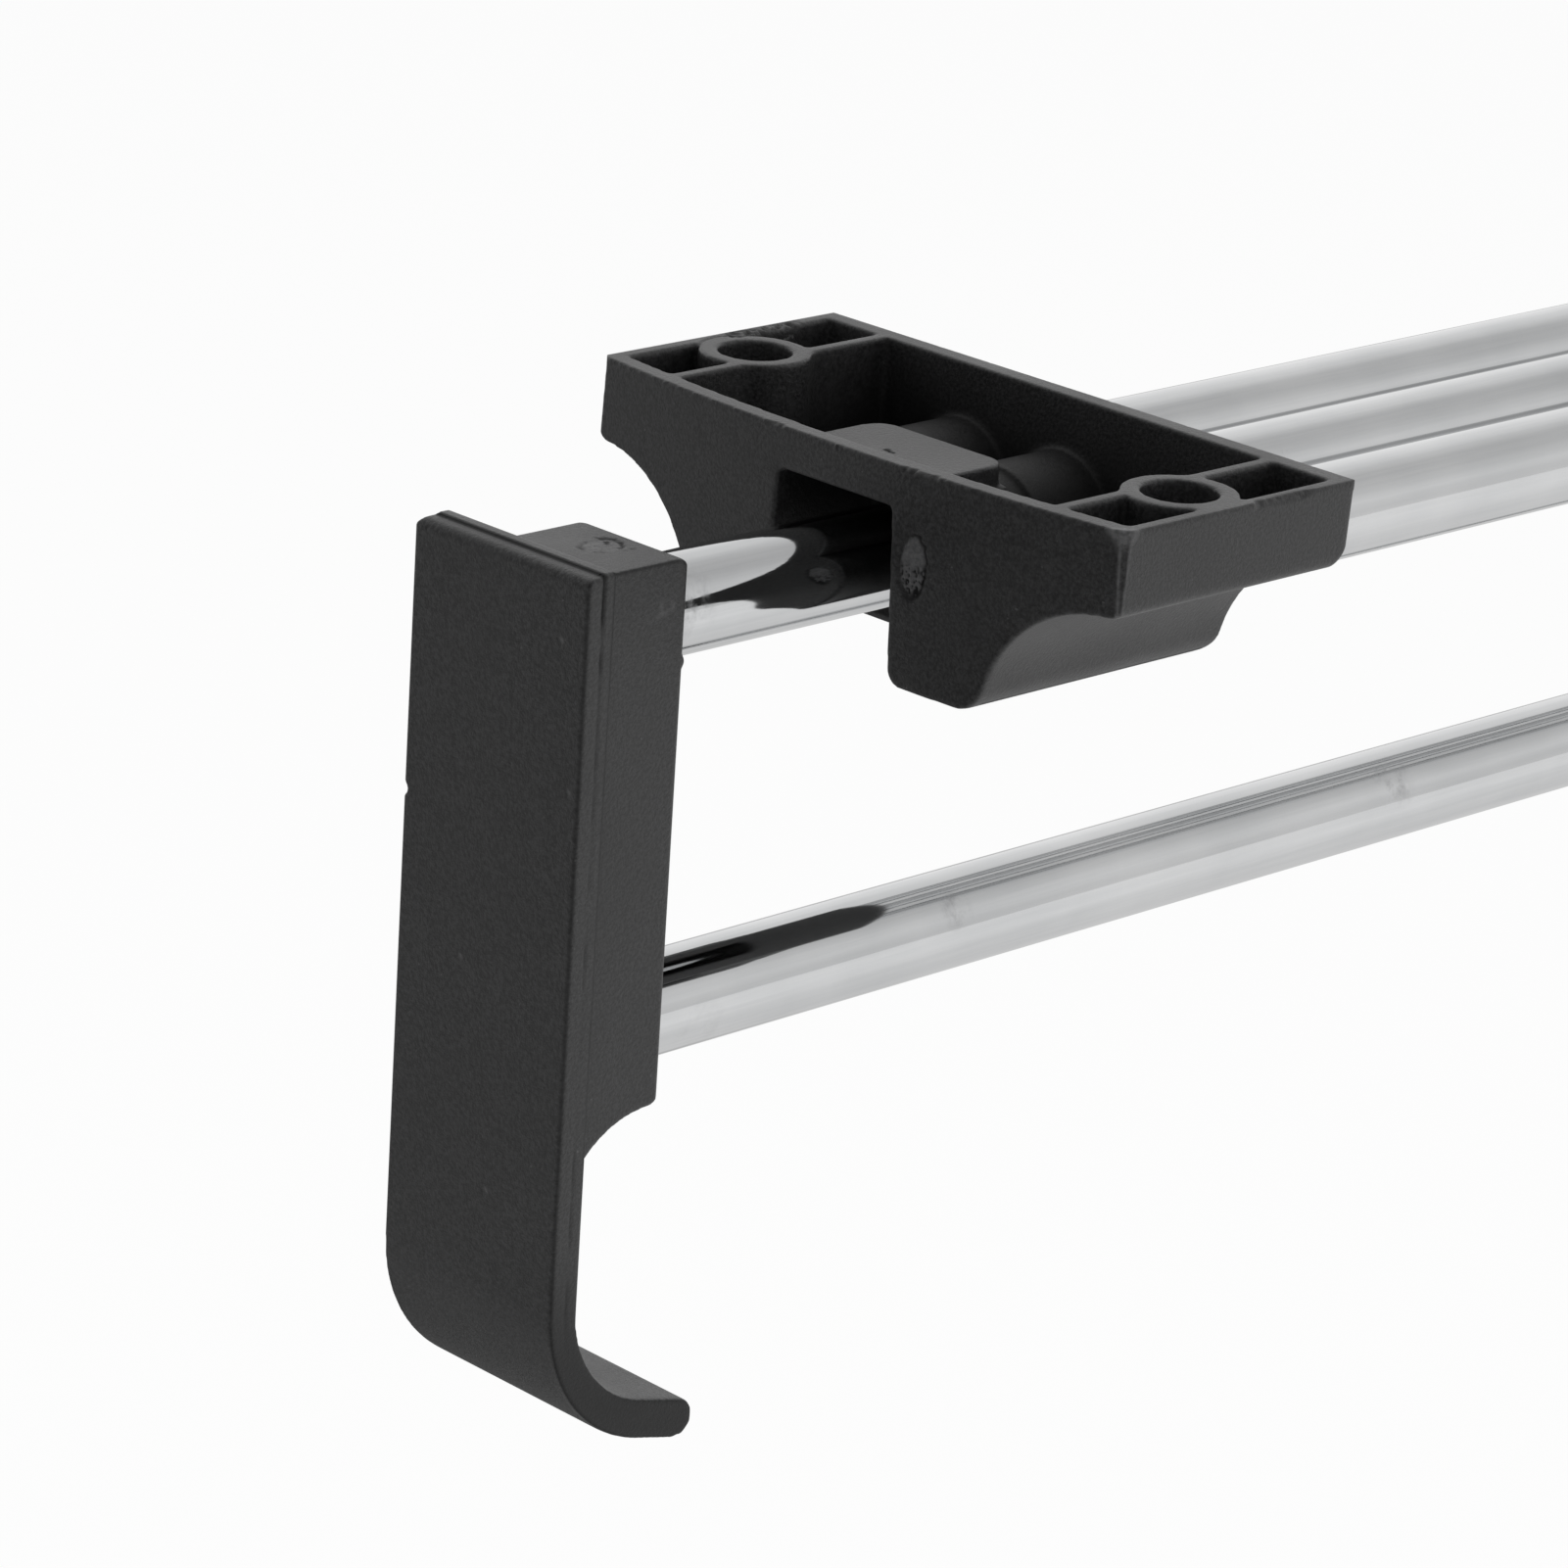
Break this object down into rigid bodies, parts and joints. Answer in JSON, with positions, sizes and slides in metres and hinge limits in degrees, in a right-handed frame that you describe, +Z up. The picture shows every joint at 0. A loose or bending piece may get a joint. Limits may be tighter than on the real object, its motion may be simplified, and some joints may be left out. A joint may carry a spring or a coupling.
{
  "type": "pull-out clothes rail",
  "caption": "Under-shelf clothes rail whose handle, slide rod, hanging rail and rear slider pull out together along guide tubes between moulded brackets.",
  "frame": {"origin": "on the shelf plane, midway between the front bracket's two screw holes", "axes": "+X to the right as seen by the user, +Y along the tubes towards the back of the wardrobe, +Z up to the shelf"},
  "size_m": [0.0716, 0.3924, 0.0928],
  "materials": {
    "moulded_plastic": "fine matte grain, moulded",
    "chromed_tube": "polished chrome plate",
    "zinc_steel": "bright zinc plate"
  },
  "bodies": {
    "guide_frame": {"front_bracket": "moulded_plastic", "rear_bracket": "moulded_plastic", "guide_tube_left": "chromed_tube", "guide_tube_right": "chromed_tube", "guide_tube_inserts": "zinc_steel", "guide_tube_screws": "zinc_steel"},
    "pull_out_frame": {"handle": "moulded_plastic", "slide_rod": "chromed_tube", "hanging_rail": "chromed_tube", "rear_slider": "moulded_plastic", "rail_inserts": "zinc_steel", "rail_screws": "zinc_steel"}
  },
  "joints": [
    {"name": "pull_out", "type": "slide", "parent": "guide_frame", "child": "pull_out_frame", "axis": [0, -1, 0], "range_m": [-0.03865, 0.22375]}
  ]
}
